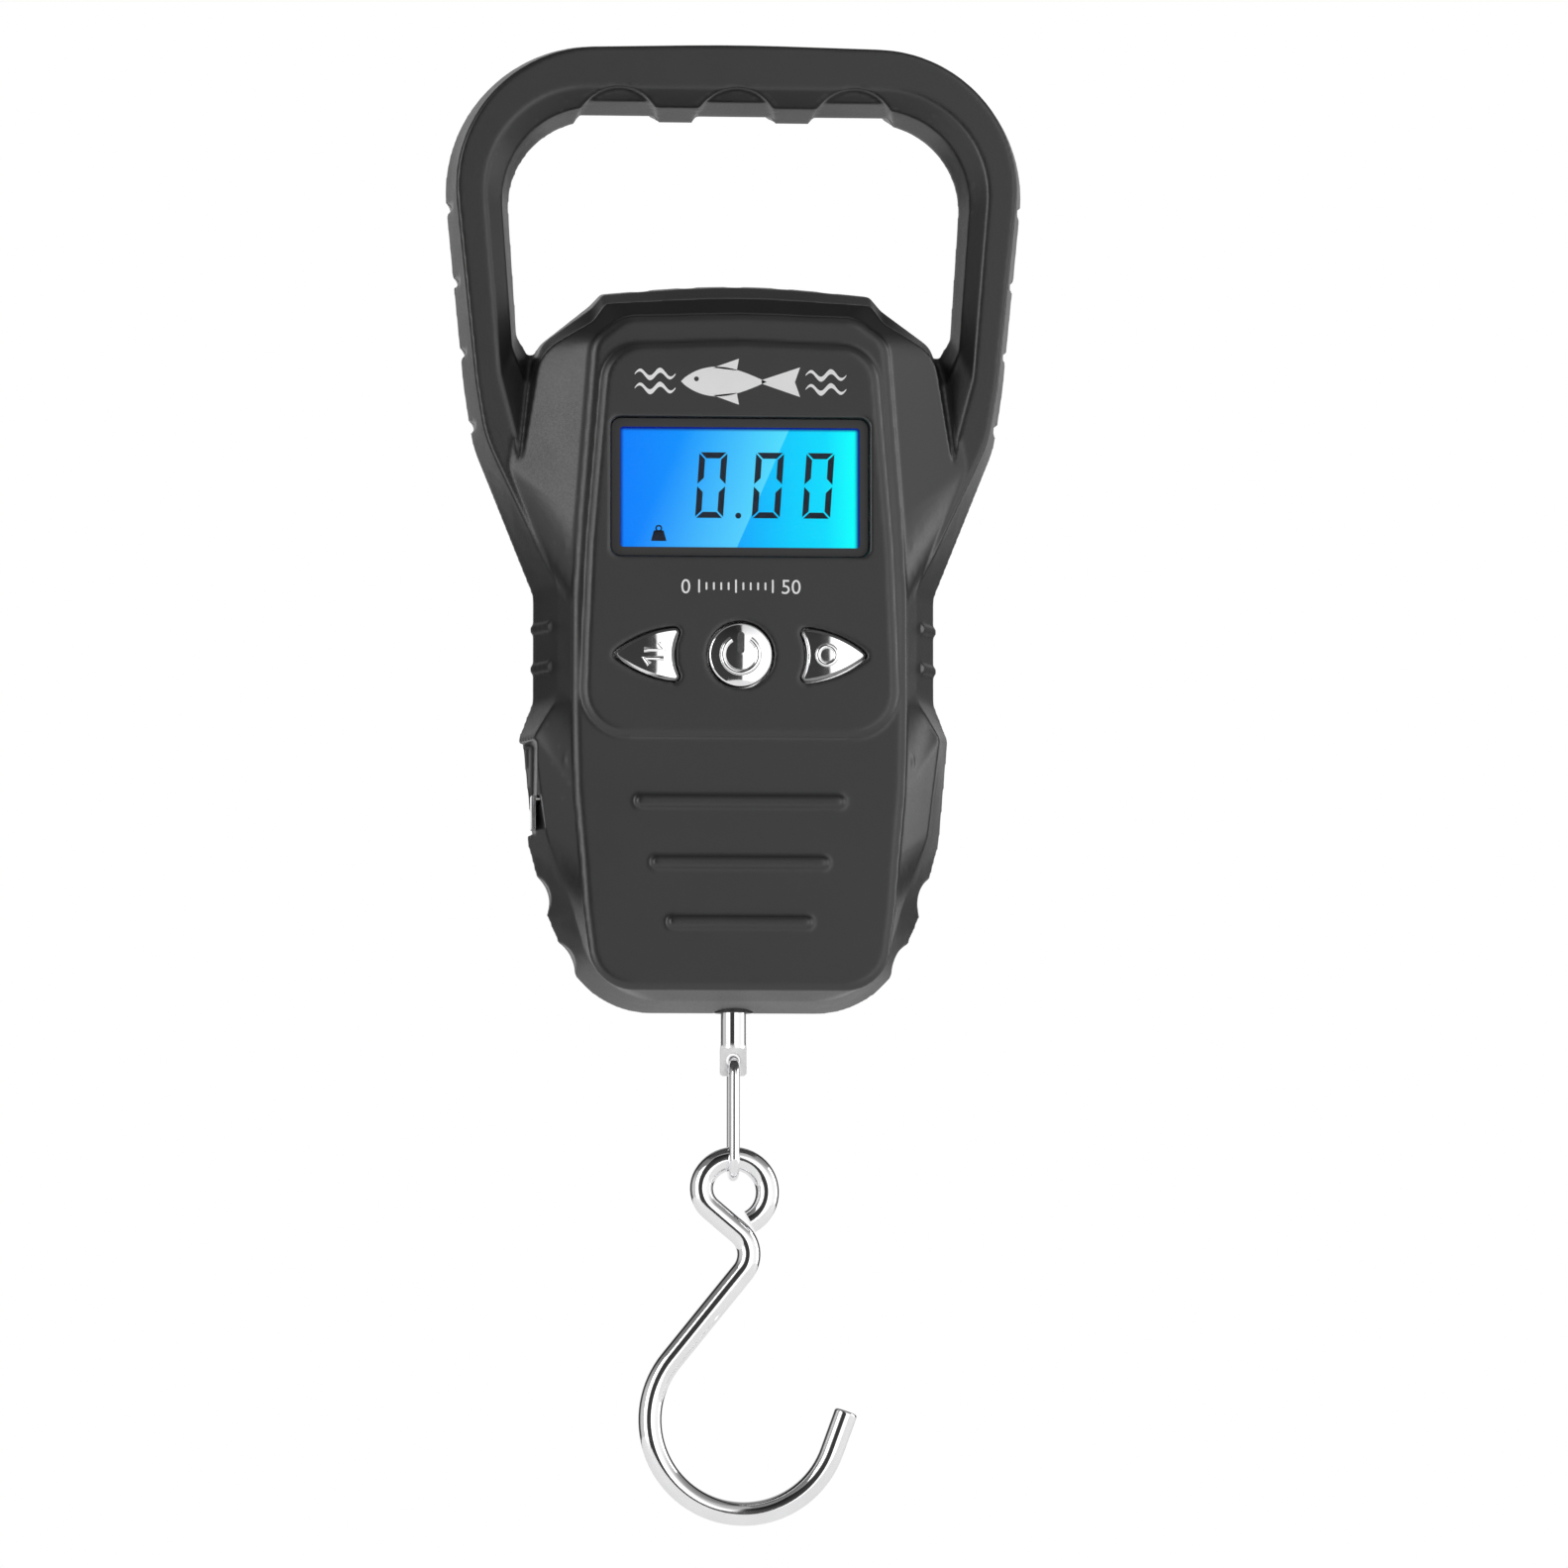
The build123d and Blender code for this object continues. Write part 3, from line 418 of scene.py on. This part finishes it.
def upright_mesh(name, outlines, front, back):
    """Flat shapes facing the front, from lists of (x, z) or, with a hole, pairs of such lists."""
    shape = bmesh.new()
    for outline in outlines:
        rings = outline if isinstance(outline, tuple) else (outline,)
        walls = []
        for ring in rings:
            near = [shape.verts.new((x, front, z)) for x, z in ring]
            far = [shape.verts.new((x, back, z)) for x, z in ring]
            walls.append((near, far))
            for i in range(len(ring)):
                j = (i + 1) % len(ring)
                shape.faces.new((near[i], near[j], far[j], far[i]))
        for side in (0, 1):
            if len(rings) == 1:
                shape.faces.new(walls[0][side])
                continue
            outer, inner = walls[0][side], walls[1][side]
            for i in range(len(outer)):
                j = (i + 1) % len(outer)
                shape.faces.new((outer[i], outer[j], inner[j], inner[i]))
    bmesh.ops.recalc_face_normals(shape, faces=shape.faces)
    mesh = bpy.data.meshes.new(name)
    shape.to_mesh(mesh)
    shape.free()
    return mesh


def arc(centre, radius, start, end, steps):
    """Points on an arc about a centre, angles in degrees."""
    return [
        (
            centre[0] + radius * math.cos(math.radians(start + (end - start) * i / steps)),
            centre[1] + radius * math.sin(math.radians(start + (end - start) * i / steps)),
        )
        for i in range(steps + 1)
    ]


def disc_outline(centre, radius):
    """Outline of a round dot."""
    return arc(centre, radius, 0, 345, 23)


def rounded_rectangle(centre, size, radius, steps=8):
    """Outline of a rectangle with round corners."""
    half_x, half_z = size[0] / 2 - radius, size[1] / 2 - radius
    corners = (
        (half_x, half_z, 0), (-half_x, half_z, 90), (-half_x, -half_z, 180), (half_x, -half_z, 270),
    )
    return [
        point
        for x, z, start in corners
        for point in arc((centre[0] + x, centre[1] + z), radius, start, start + 90, steps)
    ]


def lettering(name, text, cap_height, centre, front, finish_name, body):
    """Figures facing the front, centred, as a mesh."""
    font = bpy.data.curves.new(name, "FONT")
    font.body = text
    font.size = cap_height / CAP_SHARE
    font.align_x = "CENTER"
    font.extrude = PRINT_DEPTH
    font.resolution_u = 4
    writer = bpy.data.objects.new(name + "_text", font)
    scene.collection.objects.link(writer)
    bpy.context.view_layer.update()
    evaluated = writer.evaluated_get(bpy.context.evaluated_depsgraph_get())
    mesh = bpy.data.meshes.new_from_object(evaluated)
    bpy.data.objects.remove(writer)
    for vertex in mesh.vertices:
        across, up, out = vertex.co
        vertex.co = (centre[0] + across, front - out, centre[1] - cap_height / 2 + up)
    mesh.materials.clear()
    add_piece(name, mesh, finish_name, body)


def raised_strokes(name, lines, radius, y, finish_name, body):
    """Round strokes along lines of (x, z) points on an upright face."""
    curve = bpy.data.curves.new(name, "CURVE")
    curve.dimensions = "3D"
    for points in lines:
        spline = curve.splines.new("POLY")
        spline.points.add(len(points) - 1)
        for target, (x, z) in zip(spline.points, points):
            target.co = (x, y, z, 1)
    curve.bevel_depth = radius
    curve.bevel_resolution = 4
    curve.use_fill_caps = True
    add_piece(name, curve, finish_name, body)


# ------------------------------------------------------------------- display
def zero_segments():
    """The six lit bars of a seven-segment zero, about its own centre."""
    half_x, half_z = DIGIT_SIZE[0] / 2, DIGIT_SIZE[1] / 2
    stroke, gap = DIGIT_STROKE, DIGIT_GAP
    level = [
        (half_x - gap, half_z), (gap - half_x, half_z),
        (gap - half_x + stroke, half_z - stroke), (half_x - gap - stroke, half_z - stroke),
    ]
    upright = [
        (half_x, half_z - gap), (half_x - stroke, half_z - gap - stroke),
        (half_x - stroke, stroke + gap), (half_x, gap),
    ]
    bars = []
    for sx, sz in ((1, 1), (-1, 1), (-1, -1), (1, -1)):
        bars.append([(sx * x, sz * z) for x, z in upright])
    for sz in (1, -1):
        bars.append([(x, sz * z) for x, z in level])
    return bars


def weight_mark(centre, front, back):
    """Small picture of a weight with its ring, the sign that the display is weighing."""
    x, z = centre
    block = [
        (x - 1.1 * MM, z - 1.0 * MM), (x + 1.1 * MM, z - 1.0 * MM),
        (x + 0.7 * MM, z + 0.5 * MM), (x - 0.7 * MM, z + 0.5 * MM),
    ]
    eye = (x, z + 0.8 * MM)
    ring = (disc_outline(eye, 0.5 * MM), disc_outline(eye, 0.28 * MM))
    mesh = upright_mesh("display_weight", [block, ring], front, back)
    add_piece(mesh.name, mesh, "segment", "case")


def make_display():
    """Figures on the panel and the border printed on the window."""
    centre = middle("lcd_panel")
    panel_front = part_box("lcd_panel")[0].y
    front, back = panel_front - 0.04 * MM, panel_front + 0.02 * MM
    for i, shift in enumerate(DIGIT_CENTRES):
        outlines = [
            [
                (centre.x + shift + x + DIGIT_SLANT * z, centre.z + DIGIT_RISE + z)
                for x, z in bar
            ]
            for bar in zero_segments()
        ]
        mesh = upright_mesh(f"display_digit_{i + 1}", outlines, front, back)
        add_piece(mesh.name, mesh, "segment", "case")
    dot = disc_outline((centre.x + POINT_PLACE[0], centre.z + POINT_PLACE[1]), POINT_RADIUS)
    mesh = upright_mesh("display_point", [dot], front, back)
    add_piece(mesh.name, mesh, "segment", "case")
    weight_mark((centre.x + WEIGHT_PLACE[0], centre.z + WEIGHT_PLACE[1]), front, back)

    window_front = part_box("display_window")[0].y
    ring = (
        rounded_rectangle((centre.x, centre.z), BORDER_SIZE, BORDER_CORNER),
        rounded_rectangle((centre.x, centre.z), LIT_SIZE, LIT_CORNER),
    )
    mesh = upright_mesh("window_border", [ring], window_front - PRINT_DEPTH, window_front + 0.01 * MM)
    add_piece(mesh.name, mesh, "border", "case")


make_display()


# ------------------------------------------------------------- printed marks
def fish_outlines(centre, length):
    """Plain fish: an almond body, a forked tail and two fins."""
    half = length * 0.36
    height = length * 0.125
    nose = centre[0] - length / 2
    body = []
    for i in range(25):
        t = i / 24
        body.append((nose + 2 * half * t, centre[1] + height * math.sin(math.pi * t ** 0.8)))
    for i in range(23, 0, -1):
        t = i / 24
        body.append((nose + 2 * half * t, centre[1] - height * math.sin(math.pi * t ** 0.8)))
    root = nose + 1.88 * half
    end = centre[0] + length / 2
    tail = [
        (root, centre[1] + 0.12 * height), (end, centre[1] + height), (end - 0.35 * height, centre[1]),
        (end, centre[1] - height), (root, centre[1] - 0.12 * height),
    ]
    fins = []
    for side in (1, -1):
        fins.append([
            (nose + 0.75 * half, centre[1] + side * 0.93 * height),
            (nose + 1.35 * half, centre[1] + side * 1.55 * height),
            (nose + 1.3 * half, centre[1] + side * 0.75 * height),
        ])
    return [body, tail, *fins]


def wave_outline(start, length, rise, thick, centre_z):
    """Ribbon that rises and falls twice."""
    steps = 32
    upper, lower = [], []
    for i in range(steps + 1):
        x = start + length * i / steps
        z = centre_z + rise * math.sin(4 * math.pi * i / steps)
        taper = thick / 2 * math.sin(math.pi * (0.08 + 0.84 * i / steps))
        upper.append((x, z + taper))
        lower.append((x, z - taper))
    return upper + lower[::-1]


def make_fish_mark(front, back):
    """Fish between waves, above the display."""
    display = middle("display_window")
    mark_z = display.z + MARK_RISE
    fish = fish_outlines((display.x, mark_z), FISH_LENGTH)
    mesh = upright_mesh("fish_mark", fish, front, back)
    add_piece(mesh.name, mesh, "print", "case")
    eye = disc_outline((display.x + EYE_PLACE[0], mark_z + EYE_PLACE[1]), EYE_RADIUS)
    mesh = upright_mesh("fish_mark_eye", [eye], front - 0.02 * MM, back)
    add_piece(mesh.name, mesh, "border", "case")
    waves = [
        wave_outline(display.x + side * WAVE_X - WAVE_SIZE[0] / 2, *WAVE_SIZE, mark_z + shift * WAVE_Z)
        for side in (-1, 1)
        for shift in (-1, 1)
    ]
    mesh = upright_mesh("water_mark", waves, front, back)
    add_piece(mesh.name, mesh, "print", "case")


def make_range_line(panel_front, front, back):
    """Figures and ticks of the weighing range, under the display."""
    line_z = middle("power_key").z + RANGE_RISE
    for name, text, x in FIGURES:
        lettering(name, text, FIGURE_HEIGHT, (x, line_z), panel_front, "print", "case")
    ticks = []
    for i in range(TICKS):
        half_height = LONG_TICK if i % 5 == 0 else SHORT_TICK
        place = (TICK_START + TICK_PITCH * i, line_z)
        ticks.append(rounded_rectangle(place, (TICK_WIDTH, 2 * half_height), 0.1 * MM, 2))
    mesh = upright_mesh("range_ticks", ticks, front, back)
    add_piece(mesh.name, mesh, "print", "case")


def make_prints():
    """Everything that is printed on the panel."""
    panel_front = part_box("front_case")[0].y
    front, back = panel_front - PRINT_DEPTH, panel_front + 0.2 * MM
    make_fish_mark(front, back)
    make_range_line(panel_front, front, back)


make_prints()


def arrow(x, z, side):
    """Half-headed arrow above (side 1) or below (side -1) a key's middle."""
    tail, head, barb = (-1.4 * MM, 0.6 * MM), (1.4 * MM, 0.6 * MM), (0.6 * MM, 1.5 * MM)
    return [(x + side * across, z + side * up) for across, up in (tail, head, barb)]


def make_legends():
    """Raised signs: power, two opposed arrows to change over, and a ring to set to zero."""
    power = middle("power_key")
    arrows_z = middle("unit_key").z
    ring_centre = (RING_X, middle("tare_key").z)
    radius, first, last = POWER_ARC
    signs = (
        ("power_key", [arc((power.x, power.z), radius, first, last, 48)]),
        ("unit_key", [arrow(ARROWS_X, arrows_z, side) for side in (1, -1)]),
        ("tare_key", [arc(ring_centre, RING_RADIUS, 0, 360, 40)]),
    )
    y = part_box("power_key")[0].y + LEGEND_RADIUS
    for key, lines in signs:
        raised_strokes(key + "_legend", lines, LEGEND_RADIUS, y, "chrome_key", key)


make_legends()


# ---------------------------------------------------------- studio and camera
CAMERA_AZIMUTH = math.radians(-4.3)
CAMERA_ELEVATION = math.radians(-4.4)
CAMERA_DISTANCE = 1.5
VIEW_WIDTH = 224.9 * MM
CAMERA_TARGET = Vector((7.29 * MM, 0.0, -95.45 * MM))
SENSOR_WIDTH = 36


def make_camera():
    """Long lens from just below and left of the front."""
    data = bpy.data.cameras.new("camera")
    data.sensor_width = SENSOR_WIDTH
    data.lens = data.sensor_width * CAMERA_DISTANCE / VIEW_WIDTH
    data.clip_start, data.clip_end = 0.05, 100
    camera = bpy.data.objects.new("camera", data)
    scene.collection.objects.link(camera)
    back = Vector((
        math.sin(CAMERA_AZIMUTH) * math.cos(CAMERA_ELEVATION),
        -math.cos(CAMERA_AZIMUTH) * math.cos(CAMERA_ELEVATION),
        math.sin(CAMERA_ELEVATION),
    ))
    camera.location = CAMERA_TARGET + back * CAMERA_DISTANCE
    camera.rotation_mode = "QUATERNION"
    camera.rotation_quaternion = (-back).to_track_quat("-Z", "Y")
    scene.camera = camera


# Brightness of the surround around the scale: (degrees from the front towards +X, level)
SURROUND = [
    (-180, 0.45), (-152, 0.45), (-146, 0.03), (-114, 0.03), (-106, 0.28), (-38, 0.34),
    (-32, 0.45), (-2, 0.45), (4, 0.80), (34, 0.80), (40, 0.52), (70, 0.50), (78, 0.40), (110, 0.40),
    (118, 0.03), (146, 0.03), (152, 0.45), (180, 0.45),
]
# How the brightness falls towards the top: (height of the direction, share)
TOP_FALL = [(0.0, 1.0), (0.30, 0.95), (0.62, 0.35), (1.0, 0.22)]
# Black card near the front: middle, half width and soft edge in degrees, around and up
CARD_AROUND = (-12.5, 17.5, 3)
CARD_UP = (11, 36, 6)
CARD_SHADE = 0.05
SURROUND_STRENGTH = 2.0

# Softboxes: (name, azimuth, power); both stand at the same height and distance
SOFTBOXES = (("left_softbox", -51, 2.2), ("right_softbox", 92, 1.8))
SOFTBOX_ELEVATION = 8
SOFTBOX_DISTANCE = 0.9
SOFTBOX_SIZE = (0.35, 0.8)

FLOOR_RADIUS = 0.45
FLOOR_SIDES = 96
FLOOR_DROP = 60 * MM  # floor below the hook
FLOOR_GLOW = 0.45


def make_world():
    """Light tent with bright sides, black flags, a dim top and a black card near the front.

    The tent shows only in reflections: seen directly, the surround is plain white.
    """
    world = bpy.data.worlds.new("studio")
    scene.world = world
    tree = Tree(world)
    background = tree.nodes["Background"]
    direction = tree.node("ShaderNodeTexCoord").outputs["Generated"]
    x, y, z = tree.node("ShaderNodeSeparateXYZ", direction).outputs
    around = tree.math("ARCTAN2", x, tree.math("MULTIPLY", y, -1.0))
    rise = tree.math("ARCSINE", z)
    turn = tree.remap(around, -math.pi, math.pi, 0.0, 1.0)
    walls = tree.ramp(turn, [(angle / 360 + 0.5, grey(level)) for angle, level in SURROUND])
    top = tree.ramp(z, [(height, grey(share)) for height, share in TOP_FALL])

    def near(value, centre, half, soft):
        """1 within half of the centre, falling to 0 over a soft edge, in degrees."""
        off = tree.math("ABSOLUTE", tree.math("SUBTRACT", value, math.radians(centre)))
        return tree.remap(off, math.radians(half), math.radians(half + soft), 1.0, 0.0, "SMOOTHSTEP")

    card = tree.math("MULTIPLY", near(around, *CARD_AROUND), near(rise, *CARD_UP))
    shade = tree.remap(card, 0.0, 1.0, 1.0, CARD_SHADE)
    level = tree.math("MULTIPLY", tree.math("MULTIPLY", walls, top), shade)
    direct = tree.node("ShaderNodeLightPath").outputs["Is Camera Ray"]
    plain = grey(1 / SURROUND_STRENGTH)
    tree.feed(background.inputs["Color"], tree.mix(direct, level, opaque(plain)))
    background.inputs["Strength"].default_value = SURROUND_STRENGTH


def make_softbox(name, azimuth, power):
    """Area light that faces the middle of the scale."""
    data = bpy.data.lights.new(name, "AREA")
    data.shape = "RECTANGLE"
    data.size, data.size_y = SOFTBOX_SIZE
    data.energy = power
    light = bpy.data.objects.new(name, data)
    scene.collection.objects.link(light)
    a, e = math.radians(azimuth), math.radians(SOFTBOX_ELEVATION)
    outward = Vector((math.sin(a) * math.cos(e), -math.cos(a) * math.cos(e), math.sin(e)))
    light.location = CAMERA_TARGET + outward * SOFTBOX_DISTANCE
    light.rotation_mode = "QUATERNION"
    light.rotation_quaternion = outward.to_track_quat("Z", "Y")


def make_floor():
    """Pale disc below the hook, faintly lit from beneath."""
    disc = bmesh.new()
    rim = arc((0, 0), FLOOR_RADIUS, 0, 360 - 360 / FLOOR_SIDES, FLOOR_SIDES - 1)
    disc.faces.new([disc.verts.new((x, y, 0)) for x, y in rim])
    mesh = bpy.data.meshes.new("floor")
    disc.to_mesh(mesh)
    disc.free()
    floor = bpy.data.objects.new("floor", mesh)
    floor.location.z = cad_bounds[0].z - FLOOR_DROP
    scene.collection.objects.link(floor)
    acrylic = finish("floor", grey(0.86), rough=(0.7, 0.8), blotch=0.3, vary=0.01, grain=5 * MM)
    shader = shader_of(acrylic)[1]
    shader.inputs["Emission Color"].default_value = opaque(grey(1.0))
    shader.inputs["Emission Strength"].default_value = FLOOR_GLOW
    mesh.materials.append(acrylic)


make_camera()
make_world()
for box in SOFTBOXES:
    make_softbox(*box)
make_floor()
scene.view_settings.view_transform = "Standard"
